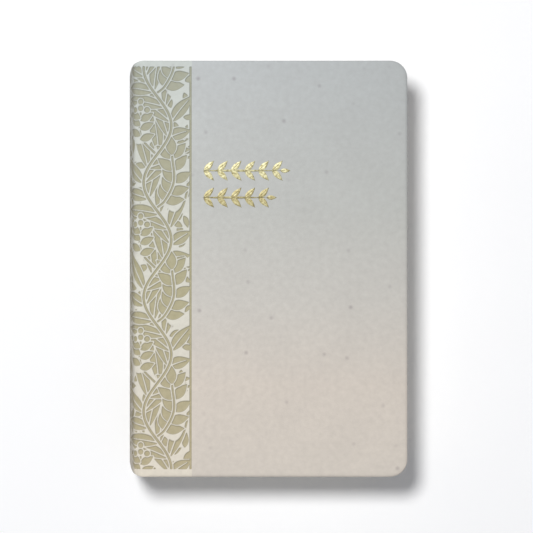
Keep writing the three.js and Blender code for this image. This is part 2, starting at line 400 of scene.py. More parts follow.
# %% Filler leaves
FILLER_SPACING = 7.0  # mm
scatter = np.random.default_rng(11)
for u in np.arange(MID_SPINE / MM, BAND_EDGE / MM, FILLER_SPACING):
    for v in np.arange(BAND_TAIL / MM, BAND_HEAD / MM, FILLER_SPACING):
        du, dv = scatter.uniform(-2, 2, 2)
        size = scatter.uniform(7, 10)
        turn = scatter.uniform(0, 360)
        leaf((u + du, v + dv), turn, size, size * 0.42, scatter.uniform(-0.2, 0.2))

# %% Upright fronds on the spine
FROND_LEAN = 32  # degrees away from the stem
FROND_HEIGHTS = (0, 25, 50, 74)  # mm, points of the stem above its foot
FROND_STEPS = 200  # places along the stem where a pair may start
for foot in (-114, -38, 38):
    frond(foot, MID_SPINE / MM, pairs=9, length=19, width=6.6)

# %% The vine's line
WAVE = 66.0  # mm from one bend to the next on the same side
SWING = 8.0  # mm to either side
VINE_CENTRE = 17.0  # mm, halfway between the band's visible edges
VINE_REACH = 118  # mm up and down, a little past the band's ends


def vine(v):
    """The vine's distance from the spine at height v, in mm: a sine wave round its centre line."""
    return VINE_CENTRE + SWING * np.sin(2 * np.pi * v / WAVE)


# %% Ribbed leaves along the vine
LEAF_PITCH = 8.8  # mm
LEAF_LEAN = 40  # degrees away from the vine
LEAF_WIDTH, SHORTEST, LONGEST = 7.0, 12, 30  # mm
LEFT_END, RIGHT_END = -5.0, 35.5  # mm, how far the leaves reach on each side
for v in np.arange(-VINE_REACH, VINE_REACH - 2, LEAF_PITCH):
    heading = math.degrees(math.atan2(2.0, vine(v + 1) - vine(v - 1)))
    for side, end in ((1, LEFT_END), (-1, RIGHT_END)):
        way = heading + side * LEAF_LEAN
        room = abs(end - vine(v)) / max(abs(math.cos(math.radians(way))), 0.3)
        length = float(np.clip(room, SHORTEST, LONGEST))
        leaf((vine(v), v), way, length, LEAF_WIDTH, side * 0.12, rib=True)

# %% Side shoots in the hollows: oval leaves to the right, berries to the left
# Places are in mm, and their heights are counted from v, a bend of the vine.
OVAL_LENGTH, OVAL_WIDTH = 11.5, 5.6  # mm
OVAL_LEAN = 44  # degrees away from the shoot
for v in WAVE * (np.arange(-1, 3) - 0.25):
    clearing(26.5, v + 2, 19, 7.5)
    shoot = [(vine(v - 15), v - 15), (21.5, v - 10), (26.5, v + 1), (25.5, v + 15)]
    place, direction = curve(shoot, 100)
    for here in (30, 47, 64, 81, 97):
        heading = math.degrees(math.atan2(direction[here, 1], direction[here, 0]))
        for side in (1, -1):
            way = heading + side * OVAL_LEAN
            leaf(place[here] / MM, way, OVAL_LENGTH, OVAL_WIDTH, side * 0.05)
    leaf((25.4, v + 16), 96, OVAL_LENGTH, OVAL_WIDTH)
    stem(shoot, 0.9)
for v in WAVE * (np.arange(-2, 2) + 0.25):
    clearing(6, v + 1, 12, 6)
    stem([(vine(v - 17), v - 17), (9, v - 9), (6.5, v - 1), (7.2, v + 7)], 0.9)
    for height, way in ((-8, 15), (-6, 150), (-2, 20), (0, 145), (3, 25), (4, 150)):
        leaf((7, v + height), way, 8.5, 4.2, 0.08)
    for place in ((3.4, v + 9.0), (7.2, v + 10.0), (11.0, v + 9.0), (7.2, v + 13.8)):
        berry(*place)

# %% The vine itself
heights = np.linspace(-VINE_REACH, VINE_REACH, 60)
stem(np.stack([vine(heights), heights], -1), width=1.1, steps=240)

# %% Border line and the finished plate
part, (u, v) = window((BAND_EDGE,), (BAND_TAIL, BAND_HEAD), 3 * MM)
line = rise(np.minimum(BAND_EDGE - u, u - BAND_EDGE + BORDER), SOFT)
plate[part] = np.maximum(plate[part], line)
plate = (plate + np.roll(plate, 1, 0) + np.roll(plate, 1, 1) + np.roll(plate, -1, 0)) / 4
print("pressed share of the band:", round(float(plate.mean()), 2))


def pressed(s, y):
    """How far the plate presses at distance s from mid-spine and height y, between 0 and 1.

    Both covers use one drawing, so the sign of s doesn't matter. Between dots it is bilinear.
    """
    u = np.abs(s) + MID_SPINE
    inside = (u <= BAND_EDGE) & (y > BAND_TAIL) & (y < BAND_HEAD)
    j = np.clip((u - across[0]) / DOT, 0, across.size - 1.001)
    i = np.clip((y - along[0]) / DOT, 0, along.size - 1.001)
    i0, j0 = i.astype(int), j.astype(int)
    fi, fj = i - i0, j - j0
    low = plate[i0, j0] * (1 - fj) + plate[i0, j0 + 1] * fj
    high = plate[i0 + 1, j0] * (1 - fj) + plate[i0 + 1, j0 + 1] * fj
    return np.where(inside, low * (1 - fi) + high * fi, 0)


# %% [markdown]
# ## Shared finishes
#
# A finish starts from what the real stuff does. Imitation leather has a fine pebble and a faint
# cloudiness, paper has fibres, and a stack of leaves shows as thin lines. Each of those effects is
# one node group with its own inputs, and each material sets its own values on it.


# %% Node helpers
def colour(red, green, blue):
    """A display colour from 0 to 255 as the linear colour that a shader takes."""
    c = np.array([red, green, blue]) / 255
    linear = np.where(c <= 0.04045, c / 12.92, ((c + 0.055) / 1.055) ** 2.4)
    return (*map(float, linear), 1)


def group(name, inputs, outputs):
    """An empty node group with named sockets: {name: (socket type, default)}."""
    tree = bpy.data.node_groups.new(name, "ShaderNodeTree")
    for label, (kind, value) in inputs.items():
        socket = tree.interface.new_socket(name=label, in_out="INPUT", socket_type=kind)
        if value is not None:
            socket.default_value = value
    for label, kind in outputs.items():
        tree.interface.new_socket(name=label, in_out="OUTPUT", socket_type=kind)
    return tree, tree.nodes.new("NodeGroupInput"), tree.nodes.new("NodeGroupOutput")


def add(tree, kind, links=None, **settings):
    """A node with settings; links feeds its inputs with sockets or plain values."""
    node = tree.nodes.new(kind)
    for label, value in settings.items():
        setattr(node, label, value)
    for label, value in (links or {}).items():
        if isinstance(value, bpy.types.NodeSocket):
            tree.links.new(value, node.inputs[label])
        else:
            node.inputs[label].default_value = value
    return node


def maths(tree, operation, a, b):
    """One Math node's result."""
    return add(tree, "ShaderNodeMath", {0: a, 1: b}, operation=operation).outputs[0]


def ranged(tree, value, low, high, at_low=0.0, at_high=1.0, **settings):
    """A value stretched to at_low at low and at_high at high, and held beyond them."""
    ends = {"Value": value, "From Min": low, "From Max": high, "To Min": at_low, "To Max": at_high}
    return add(tree, "ShaderNodeMapRange", ends, **settings).outputs["Result"]


def coordinate(tree, where, axis):
    """One coordinate of a place."""
    return add(tree, "ShaderNodeSeparateXYZ", {"Vector": where}).outputs[axis]


def blend_colours(tree, share, a, b):
    """Colour a where share is 0, and colour b where it is 1."""
    node = add(tree, "ShaderNodeMix", {"Factor": share}, data_type="RGBA")
    for socket, value in ((node.inputs[6], a), (node.inputs[7], b)):
        if isinstance(value, bpy.types.NodeSocket):
            tree.links.new(value, socket)
        else:
            socket.default_value = value
    return node.outputs[2]


FLOAT, VECTOR = "NodeSocketFloat", "NodeSocketVector"

# %% Cloudiness: a large soft mask between 0 and 1
cloud_group, cloud_in, cloud_out = group(
    "cloudiness", {"Place": (VECTOR, None), "Size in mm": (FLOAT, 20.0)}, {"Mask": FLOAT}
)
cloud_scale = maths(cloud_group, "DIVIDE", 1000.0, cloud_in.outputs["Size in mm"])
cloud_noise = add(
    cloud_group,
    "ShaderNodeTexNoise",
    {"Vector": cloud_in.outputs["Place"], "Scale": cloud_scale, "Detail": 4.0, "Roughness": 0.6},
)
cloud_mask = ranged(cloud_group, cloud_noise.outputs["Fac"], 0.3, 0.7)
cloud_group.links.new(cloud_mask, cloud_out.inputs["Mask"])

# %% Pebble: the fine height of a leather-like skin
pebble_group, pebble_in, pebble_out = group(
    "pebble", {"Place": (VECTOR, None), "Grain in mm": (FLOAT, 0.6)}, {"Height": FLOAT}
)
pebble_scale = maths(pebble_group, "DIVIDE", 1000.0, pebble_in.outputs["Grain in mm"])
pebble_cells = add(
    pebble_group,
    "ShaderNodeTexVoronoi",
    {"Vector": pebble_in.outputs["Place"], "Scale": pebble_scale},
    feature="SMOOTH_F1",
)
pebble_fine = add(
    pebble_group,
    "ShaderNodeTexNoise",
    {"Vector": pebble_in.outputs["Place"], "Scale": pebble_scale, "Detail": 3.0},
)
pebble_height = maths(
    pebble_group, "ADD", pebble_cells.outputs["Distance"], pebble_fine.outputs["Fac"]
)
pebble_group.links.new(pebble_height, pebble_out.inputs["Height"])

# %% Specks: a few faint spots, each in the middle of its own cell
speck_group, speck_in, speck_out = group(
    "specks",
    {"Place": (VECTOR, None), "Spacing in mm": (FLOAT, 22.0), "Radius in mm": (FLOAT, 1.1),
     "Share of cells": (FLOAT, 0.3)},
    {"Mask": FLOAT},
)
speck_scale = maths(speck_group, "DIVIDE", 1000.0, speck_in.outputs["Spacing in mm"])
speck_cells = add(
    speck_group,
    "ShaderNodeTexVoronoi",
    {"Vector": speck_in.outputs["Place"], "Scale": speck_scale},
    voronoi_dimensions="2D",
)
speck_size = maths(
    speck_group, "DIVIDE", speck_in.outputs["Radius in mm"], speck_in.outputs["Spacing in mm"]
)
speck_near = ranged(
    speck_group, speck_cells.outputs["Distance"], speck_size, 0.0, interpolation_type="SMOOTHSTEP"
)
speck_pick = add(speck_group, "ShaderNodeSeparateColor", {"Color": speck_cells.outputs["Color"]})
speck_chosen = maths(
    speck_group, "LESS_THAN", speck_pick.outputs["Red"], speck_in.outputs["Share of cells"]
)
speck_depth = maths(speck_group, "MULTIPLY", speck_chosen, speck_pick.outputs["Green"])
speck_mask = maths(speck_group, "MULTIPLY", speck_depth, speck_near)
speck_group.links.new(speck_mask, speck_out.inputs["Mask"])


# %% A material with one Principled shader
def material(name, roughness=0.6, metallic=0.0, specular=0.4, place="attribute"):
    """A new material, its tree, its shader, and the socket that says where on the piece it is."""
    made = bpy.data.materials.new(name)
    made.use_nodes = True
    tree = made.node_tree
    shader = tree.nodes["Principled BSDF"]
    shader.inputs["Roughness"].default_value = roughness
    shader.inputs["Metallic"].default_value = metallic
    shader.inputs["Specular IOR Level"].default_value = specular
    if place == "attribute":
        where = add(tree, "ShaderNodeAttribute", attribute_name="place").outputs["Vector"]
    else:
        where = add(tree, "ShaderNodeTexCoord").outputs["Object"]
    return made, tree, shader, where


def use_group(tree, source, where, **values):
    """A node group placed in a material, fed with the place and its own values."""
    node = add(tree, "ShaderNodeGroup", node_tree=source)
    tree.links.new(where, node.inputs["Place"])
    for label, value in values.items():
        node.inputs[label.replace("_", " ")].default_value = value
    return node.outputs[0]


def bump(tree, shader, height, strength, distance_mm):
    """Feeds the shader's normal from a height."""
    links = {"Height": height, "Strength": strength, "Distance": distance_mm * MM}
    tree.links.new(add(tree, "ShaderNodeBump", links).outputs["Normal"], shader.inputs["Normal"])


# %% [markdown]
# ## Cover skin
#
# The skin is a pale, soft-touch imitation leather with faint clouds and a few faint mauve specks.
# Its colour drifts from a cool grey green at the head to a warm beige at the tail, and grows lighter
# towards the tail: this drift is painted light, a cool cast at the head and a warm one at the tail.
# In the band the high strips are paler than the plain cover, because the hot plate polishes them,
# and the pressed leaves are olive. A ramp along the book's height gives the painted drift, and the
# mesh's own pressed attribute chooses between the two colours. Painted shade darkens the relief's
# walls, the spine's shoulder and the cover towards the fore edge at the head.

# %% Cover skin material
cover_skin, tree, shader, where = material("cover_skin", roughness=0.62, specular=0.3)
page_share = ranged(tree, coordinate(tree, where, "Y"), -HALF_HEIGHT, HALF_HEIGHT)


def ramp(tree, share, stops):
    """A colour ramp with (position, colour) stops."""
    node = add(tree, "ShaderNodeValToRGB", {"Fac": share})
    elements = node.color_ramp.elements
    while len(elements) < len(stops):
        elements.new(0.5)
    for element, (position, value) in zip(elements, stops):
        element.position = position
        element.color = value
    return node.outputs["Color"]


# Painted light: each ramp grows cooler and darker from the tail to the head, a painted colour cast of
# the light on the skin.
plain_tone = ramp(
    tree,
    page_share,
    [(0.0, colour(213, 204, 192)), (0.22, colour(214, 204, 192)), (0.42, colour(204, 200, 192)),
     (0.65, colour(192, 193, 188)), (1.0, colour(187, 191, 191))],
)
high_tone = ramp(
    tree, page_share, [(0.0, colour(229, 220, 203)), (0.5, colour(216, 214, 201)),
                       (1.0, colour(196, 202, 197))]
)
pressed_tone = ramp(
    tree, page_share, [(0.0, colour(184, 172, 140)), (0.5, colour(175, 169, 137)),
                       (1.0, colour(161, 164, 149))]
)
in_band = add(tree, "ShaderNodeAttribute", attribute_name="in_band").outputs["Fac"]
pressed_in = add(tree, "ShaderNodeAttribute", attribute_name="pressed").outputs["Fac"]
ground = blend_colours(tree, in_band, plain_tone, high_tone)
clouds = use_group(tree, cloud_group, where, Size_in_mm=26.0)
ground = blend_colours(tree, maths(tree, "MULTIPLY", clouds, 0.10), ground, colour(150, 146, 142))
mottle = use_group(tree, cloud_group, where, Size_in_mm=3.2)
ground = blend_colours(tree, maths(tree, "MULTIPLY", mottle, 0.14), ground, colour(128, 124, 120))
olive_share = maths(tree, "MULTIPLY", mottle, 0.3)
pressed_tone = blend_colours(tree, olive_share, pressed_tone, colour(140, 133, 98))
specks = use_group(tree, speck_group, where, Radius_in_mm=1.9, Share_of_cells=0.55)
ground = blend_colours(tree, maths(tree, "MULTIPLY", specks, 0.42), ground, colour(120, 108, 114))
skin_tone = blend_colours(tree, pressed_in, ground, pressed_tone)

# %% Painted shade in the relief's walls, on the spine's shoulder and towards the fore edge
# Painted shade: the relief's half-pressed sloping walls get a dark olive, the shade that falls into
# the recesses.
wall = maths(tree, "MULTIPLY", pressed_in, maths(tree, "SUBTRACT", 1.0, pressed_in))
skin_tone = blend_colours(tree, maths(tree, "MULTIPLY", wall, 1.5), skin_tone, colour(106, 102, 78))
from_spine = coordinate(tree, where, "X")
# Painted shade: a dark brown over the spine's shoulder, where the skin turns away from the light.
painted_shoulder_shade = ranged(
    tree, from_spine, SPINE_X + 2.2 * MM, SPINE_X + 4.6 * MM, at_low=0.42, at_high=0.0,
    interpolation_type="SMOOTHSTEP",
)
skin_tone = blend_colours(tree, painted_shoulder_shade, skin_tone, colour(84, 74, 60))
# Painted shade: a grey green darkens the cover towards the fore edge, most at the head, the falloff
# of the light.
to_fore_edge = ranged(tree, from_spine, SPINE_X / 2, FORE_X, at_high=0.2)
painted_falloff_share = maths(tree, "MULTIPLY", to_fore_edge, page_share)
skin_tone = blend_colours(tree, painted_falloff_share, skin_tone, colour(118, 122, 118))
tree.links.new(skin_tone, shader.inputs["Base Color"])
bump(tree, shader, use_group(tree, pebble_group, where, Grain_in_mm=0.6), 0.5, 0.08)

# %% [markdown]
# ## Case: covers, joints and spine
#
# The skin is one strip in the real book. Here it is cut along the joints, because each cut lets a
# piece follow its own body or bend between two of them. A single function gives the outline of the
# whole strip from the distance along it, so the pieces meet exactly: a long arc over the spine, a
# tight arc round each shoulder, and the flat of each cover.


# %% The strip's outline
def wrap(s, depth):
    """x and z of the point at distance s along the strip, and depth below its outer face.

    s is 0 at mid-spine and grows over the front. Up to SPINE_REACH the strip follows an arc of
    LONG_RADIUS, then one of radius SHOULDER up to FLAT_REACH, then it is flat.
    """
    a = np.abs(s)
    long = np.minimum(a, SPINE_REACH) / LONG_RADIUS
    short = TILT + (np.clip(a, SPINE_REACH, FLAT_REACH) - SPINE_REACH) / SHOULDER
    on_spine = a <= SPINE_REACH
    angle = np.where(on_spine, long, short)
    radius = np.where(on_spine, LONG_RADIUS, SHOULDER) - depth
    centre_x = np.where(on_spine, SPINE_X + LONG_RADIUS, SHOULDER_X)
    centre_z = np.where(on_spine, 0, MIDDLE - SHOULDER)
    x = centre_x - radius * np.cos(angle) + np.maximum(a - FLAT_REACH, 0)
    z = centre_z + radius * np.sin(angle)
    return x, MIDDLE + np.sign(s) * z


def half_height(s):
    """How far the strip reaches from mid-height.

    The spine is a little shorter than the covers, and the shoulder joins the two like a parabola,
    1 - (1 - t) squared, over its width. The fore-edge corners are quarter circles.
    """
    spine_side, _ = wrap(np.array([SPINE_REACH]), 0)
    x = np.where(np.abs(s) > SPINE_REACH, wrap(np.abs(s), 0)[0], spine_side[0])
    t = np.clip((x - spine_side[0]) / (HINGE_X - spine_side[0]), 0, 1)
    reach = HALF_SPINE + (HALF_HEIGHT - HALF_SPINE) * (1 - (1 - t) ** 2)
    into_corner = np.clip(x - (FORE_X - CORNER), 0, CORNER)
    return reach - CORNER + np.sqrt(CORNER**2 - into_corner**2)


CAP_LENGTH, CAP_DEPTH = 7 * MM, 1.9 * MM
CAP_SHARE = 0.85  # how much of a quarter ellipse the cap's outline takes


def cap(s, y):
    """How far the spine's ends are drawn in over the headbands: part of a quarter ellipse."""
    t = CAP_SHARE * np.clip((np.abs(y) - (HALF_SPINE - CAP_LENGTH)) / CAP_LENGTH, 0, 1)
    share = 1 - np.clip(np.abs(s) / SPINE_REACH, 0, 1) ** 2
    return CAP_DEPTH * share * (1 - np.sqrt(1 - t**2)) / (1 - math.sqrt(1 - CAP_SHARE**2))


# %% Rows and columns of a strip
EDGE_STEPS = np.array([0, 0.03, 0.12, 0.28, 0.5, 0.8, 1.2, 1.8, 2.6]) * MM
INNER_EVERY = 4  # the band's inner face has every 4th column, as nobody sees a relief there


def rows(step):
    """Shares of the half height from -1 to 1, close together at both ends."""
    inner = HALF_HEIGHT - 3.2 * MM
    middle = np.linspace(-inner, inner, 2 * round(inner / step) + 1)
    places = np.concatenate([EDGE_STEPS - HALF_HEIGHT, middle, (HALF_HEIGHT - EDGE_STEPS)[::-1]])
    return places / HALF_HEIGHT


def spread(start, stop, step):
    """Even columns, with their number one more than a multiple of INNER_EVERY."""
    bays = math.ceil((stop - start) / step / INNER_EVERY)
    return np.linspace(start, stop, INNER_EVERY * bays + 1)


def edge_distance(s, y):
    """Distance to the strip's outline: its head, its tail, its fore edges and round corners."""
    to_end = half_height(np.minimum(np.abs(s), HINGE_REACH)) - np.abs(y)
    fore = FORE_X - (SHOULDER_X + np.abs(s) - FLAT_REACH)
    corner_x, corner_y = CORNER - fore, CORNER - to_end
    round_corner = CORNER - np.hypot(corner_x, corner_y)
    in_corner = (corner_x > 0) & (corner_y > 0)
    return np.where(in_corner, round_corner, np.minimum(to_end, fore))


PRESS_DEPTH = 0.55 * MM
BAND_REACH = BAND_EDGE - MID_SPINE
ROLL = 1.9 * MM  # how far the rounded rim reaches in from the outline


def strip(name, columns, step, thickness, every=1):
    """One piece of the skin: its outer face with the relief and the rolled rim, and its inner face.

    Near the outline both faces come together like half an ellipse, ROLL wide and as high as the
    piece is thick. The outer face is then lowered by the pressed drawing, and by a very low
    wander that a limp cover has.
    """
    s, v = np.meshgrid(columns, rows(step))
    y = v * half_height(s)
    t = np.clip(edge_distance(s, y) / ROLL, 0.004, 1)
    full = np.sqrt(1 - (1 - t) ** 2)
    depth = thickness(s)
    pressing = pressed(s, y)
    off_band = smooth_step((np.abs(s) - BAND_REACH) / (20 * MM)) * full
    wander = 0.05 * MM * (1 + np.sin(s * 41 + 1.3) * np.sin(y * 37 + 0.4)) * off_band
    x, z = wrap(s, depth / 2 * (1 - full) + PRESS_DEPTH * pressing + wander)
    outer = np.stack([x + cap(s, y), y, z], -1)
    x, z = wrap(s, depth / 2 * (1 + full))
    inner = np.stack([x + cap(s, y), y, z], -1)[:, ::every]
    piece = face_outwards(new_piece(name, *shell(outer, inner)))
    in_band = smooth_step((BAND_REACH + 0.3 * MM - np.abs(s)) / (0.4 * MM))
    for label, values in (("pressed", pressing), ("in_band", in_band)):
        held = np.zeros(len(piece.data.vertices), np.float32)
        held[: values.size] = values.ravel()
        piece.data.attributes.new(label, "FLOAT", "POINT").data.foreach_set("value", held)
    piece.data.materials.append(cover_skin)
    shade(piece, angle=50)
    print(name, len(piece.data.polygons), "faces")
    return piece


def plate_thick(s):
    """The covers are as thick as skin, board and turn-in together, beyond the hinge line."""
    return SKIN + (PLATE - SKIN) * smooth_step((np.abs(s) - HINGE_REACH) / (2.5 * MM))


# %% [markdown]
# ### Front cover
#
# The band needs a grid as fine as its leaves, and the plain part doesn't, so they are two pieces
# that meet just past the band's border line. The band starts at the hinge line, where the real skin
# folds when the cover is opened.

# %% Front cover pieces
FINE, COARSE = 0.3 * MM, 2.2 * MM
FORE_REACH = FLAT_REACH + FORE_X - SHOULDER_X
band_columns = spread(HINGE_REACH, BAND_REACH + 0.9 * MM, FINE)
panel_middle = np.linspace(BAND_REACH + 0.9 * MM, FORE_REACH - 13 * MM, 48)
panel_edge = FORE_REACH - np.array([11, 9, 7, 5.2, 3.8]) * MM
panel_columns = np.concatenate([panel_middle, panel_edge, FORE_REACH - EDGE_STEPS[::-1]])

front_band = strip("front_band", band_columns, FINE, plate_thick, INNER_EVERY)
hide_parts("front_skin")
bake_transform(front_band)
front_panel = strip("front_panel", panel_columns, COARSE, plate_thick)
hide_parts("front_skin")
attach(front_panel, "front_cover")

# %% Joints and spine
joint_columns = spread(SPINE_REACH, HINGE_REACH, FINE)
spine_columns = spread(-SPINE_REACH, SPINE_REACH, 0.4 * MM)


def skin_only(s):
    """The joints and the spine are skin only."""
    return np.full_like(s, SKIN)


front_joint = strip("front_joint", joint_columns, 0.4 * MM, skin_only, INNER_EVERY)
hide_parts("front_joint_strip")
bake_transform(front_joint)
spine_cover = strip("spine_cover", spine_columns, 0.4 * MM, skin_only, INNER_EVERY)
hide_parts("spine_skin")
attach(spine_cover, "spine")
back_joint = strip("back_joint", -joint_columns[::-1], 0.4 * MM, skin_only, INNER_EVERY)
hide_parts("back_joint_strip")
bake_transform(back_joint)

# %% Back cover
back_band = strip("back_band", -band_columns[::-1], FINE, plate_thick, INNER_EVERY)
back_panel = strip("back_panel", -panel_columns[::-1], COARSE, plate_thick)
for piece in (back_band, back_panel):
    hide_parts("back_skin")
    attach(piece, "back_cover")

# %% [markdown]
# ## Text block
#
# A real section is a few dozen folded leaves. Here it is one solid with a round fold and fine
# ridges on its three cut edges, two for each drawn leaf, so that the edge of the block shows its
# leaves. All sections follow one curve, the rounded backbone, and the fore edge repeats it.
#
# When the book is opened the sections of a half slide over each other.

# %% Paper material
def clouded(name, size_mm, dark, pale, **settings):
    """A material whose tone drifts between two colours in clouds of that size."""
    made, tree, shader, where = material(name, **settings)
    clouds = use_group(tree, cloud_group, where, Size_in_mm=size_mm)
    tone = blend_colours(tree, clouds, colour(*dark), colour(*pale))
    tree.links.new(tone, shader.inputs["Base Color"])
    return made, tree, shader, where, clouds


PAPER_TONES = (241, 236, 222), (248, 244, 233)
page_paper, tree, shader, where, _ = clouded(
    "page_paper", 2.5, *PAPER_TONES, roughness=0.85, specular=0.2
)
bump(tree, shader, use_group(tree, pebble_group, where, Grain_in_mm=0.3), 0.1, 0.02)

# %% Backbone curve and section bodies
FOLD_DEPTH = 4 * MM
PAGE_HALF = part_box("section_01")[1].y
PAGE_CORNER = 6 * MM
LEAVES_DRAWN = 7  # leaves drawn on a section's edge
RIDGE = 0.05 * MM


def backbone(depth, z):
    """x at a depth inside the spine's long arc, at height z."""
    radius = LONG_RADIUS - depth
    return SPINE_X + LONG_RADIUS - np.sqrt(radius**2 - (z - MIDDLE) ** 2)


PAGE_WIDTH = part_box("middle_leaf_back")[1].x - backbone(FOLD_DEPTH, MIDDLE)


def page_outline(across_share, up_share, z, fold, inset):
    """Points of a leaf at height z: a rectangle with two round corners at the fore edge."""
    width = PAGE_WIDTH - inset
    x = fold + (width - fold) * across_share
    into_corner = np.clip(x - (width - PAGE_CORNER), 0, PAGE_CORNER)
    half = PAGE_HALF - inset - PAGE_CORNER + np.sqrt(PAGE_CORNER**2 - into_corner**2)
    z = np.broadcast_to(z, x.shape)
    return np.stack([x + backbone(FOLD_DEPTH, z), half * up_share, z], -1)


def section(number):
    """A closed section: layer k of its edge is inset by RIDGE when k is odd, and the fold is half
    a circle, r * (1 - sqrt(1 - (2 t - 1) squared)), where t is the share of the thickness.
    """
    low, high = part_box(f"section_{number:02d}")
    z0, z1 = low.z - 0.035 * MM, high.z + 0.035 * MM
    t = np.linspace(0, 1, 2 * LEAVES_DRAWN + 1)
    fold = (z1 - z0) / 2 * (1 - np.sqrt(1 - (2 * t - 1) ** 2))
    inset = RIDGE * (np.arange(t.size) % 2) + RIDGE * (np.abs(2 * t - 1) > 0.99)
    corner = PAGE_CORNER / PAGE_WIDTH
    across_share = np.concatenate(
        [np.linspace(0, 1 - corner, 9)[:-1], 1 - corner * np.cos(np.linspace(0, np.pi / 2, 12))]
    )
    across_share, up_share = np.meshgrid(across_share, np.linspace(-1, 1, 25))
    layers = np.stack([
        page_outline(across_share, up_share, z0 + k * (z1 - z0), f, d)
        for k, f, d in zip(t, fold, inset)
    ])
    loops = np.stack([border(layer) for layer in layers[1:-1]])
    piece = closed_stack(f"leaves_{number:02d}", layers[0], layers[-1], loops)
    piece.data.materials.append(page_paper)
    piece.data.shade_flat()
    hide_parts(f"section_{number:02d}")
    return piece


def centre_z(number):
    """The height of a section's middle."""
    low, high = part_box(f"section_{number:02d}")
    return (low.z + high.z) / 2


def bend_with_half(piece):
    """Bakes a piece of one half into its place at rest."""
    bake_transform(piece)


for number in range(1, 17):
    bend_with_half(section(number))
print("sections: 16, leaf width", round(PAGE_WIDTH / MM, 1), "mm")

# %% [markdown]
# ## Backbone
#
# The sections are sewn through their folds at five stations, glued over with mull (an open gauze)
# and with a paper lining. Two headbands hide the glued ends. Each of them is drawn as two halves,
# because the book opens in the middle and each half follows its own sections.

# %% Backbone materials
spine_paper = clouded(
    "spine_paper", 3.0, (206, 192, 166), (220, 208, 184), roughness=0.9, specular=0.2
)[0]
mull_cloth = clouded(
    "mull_cloth", 1.0, (226, 218, 198), (240, 234, 218), roughness=0.95, specular=0.1
)[0]
thread_white = clouded(
    "thread", 0.6, (236, 230, 214), (250, 247, 238), roughness=0.8, specular=0.2
)[0]
headband_cloth, tree, shader, where = material("headband_cloth", roughness=0.8, specular=0.2)
wrap_number = add(tree, "ShaderNodeAttribute", attribute_name="stripe").outputs["Fac"]
tree.links.new(
    blend_colours(tree, wrap_number, colour(244, 240, 228), colour(170, 165, 124)),
    shader.inputs["Base Color"],
)


# %% Lining and mull
def both_halves(name, node, step, make, finish):
    """Makes a backbone piece as a back half and a front half that meet in the middle."""
    low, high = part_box(node)
    gap = 0.05 * MM
    for half, z0, z1 in (("back", low.z, MIDDLE - gap), ("front", MIDDLE + gap, high.z)):
        z = np.linspace(z0, z1, max(int((z1 - z0) / step), 4))
        piece = make(f"{name}_{half}", low, high, z)
        piece.data.materials.append(finish)
        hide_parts(node)
        bend_with_half(piece)


def glued_sheet(depth, thickness, weave):
    """A maker of sheets on the backbone; a woven one is wavy, weave * sin * sin in depth."""
    def make(name, low, high, z):
        y = np.linspace(low.y, high.y, max(int((high.y - low.y) / (0.8 * MM)), 8))
        up, out = np.meshgrid(z, y)
        wave = weave * np.sin(up * 2 * np.pi / (1.6 * MM)) * np.sin(out * 2 * np.pi / (2.4 * MM))
        outer = np.stack([backbone(depth + weave + wave, up), out, up], -1)
        inner = np.stack([backbone(depth + thickness, up), out, up], -1)
        return shade(face_outwards(new_piece(name, *shell(outer, inner))), angle=50)
    return make


both_halves(
    "lining", "spine_lining", 0.6 * MM, glued_sheet(2.8 * MM, 0.14 * MM, 0.0), spine_paper,
)
both_halves(
    "mull", "mull", 0.4 * MM, glued_sheet(2.95 * MM, 0.25 * MM, 0.04 * MM), mull_cloth
)


# %% Threads and headbands
def twisted(name, low, high, z):
    """A cord along the backbone: its radius is r * (0.86 + 0.14 * |sin|) over three strands."""
    middle_y, depth, r = (low.y + high.y) / 2, 3.6 * MM, 0.29 * MM
    around = np.linspace(0, 2 * np.pi, 18, endpoint=False)
    turn = 2 * np.pi * z[:, None] / (2.2 * MM)
    lobes = r * (0.86 + 0.14 * np.abs(np.sin(1.5 * (around[None] - turn))))
    x = backbone(depth, z)[:, None] + lobes * np.cos(around)
    y = middle_y + lobes * np.sin(around)
    return shade(closed_tubes(name, [np.stack([x, y, np.broadcast_to(z[:, None], x.shape)], -1)]))


WRAP_PITCH = 0.9 * MM  # one turn of the headband's silk


def wrapped(name, low, high, z):
    """A headband: an oval core under turns of silk, each a bulge of 0.1 * |sin|."""
    middle_y, half_y = (low.y + high.y) / 2, (high.y - low.y) / 2
    depth, half_x = (2.95 + 1.5) * MM, 1.5 * MM
    around = np.linspace(0, 2 * np.pi, 28, endpoint=False)
    bulge = 0.9 + 0.1 * np.abs(np.sin(np.pi * z / WRAP_PITCH))[:, None]
    x = backbone(depth, z)[:, None] + half_x * bulge * np.cos(around)
    y = middle_y + half_y * bulge * np.sin(around)
    tube = np.stack([x, y, np.broadcast_to(z[:, None], x.shape)], -1)
    piece = shade(closed_tubes(name, [tube]))
    turn = np.floor(z / WRAP_PITCH).astype(int) % 4 < 2
    stripe = np.repeat(turn.astype(np.float32), around.size)
    piece.data.attributes.new("stripe", "FLOAT", "POINT").data.foreach_set("value", stripe)
    return piece


for station in range(1, 6):
    both_halves(
        f"cord_{station}", f"sewing_thread_{station}", 0.12 * MM, twisted, thread_white
    )
for node in ("headband", "tailband"):
    both_halves(f"silk_{node}", node, 0.09 * MM, wrapped, headband_cloth)

# %% [markdown]
# ## Gold foil
#
# Two stamped sprigs stand where a title would be. Hot foil lies a hair above the skin and follows
# its dents. Its tone breaks between bright and dark gold in small clouds, which are painted
# reflection. Each leaf is a thin closed plate with a low dome and a groove along its vein.

# %% Foil material
gold_foil, tree, shader, where = material("gold_foil", roughness=0.5, metallic=0.55, specular=0.4)
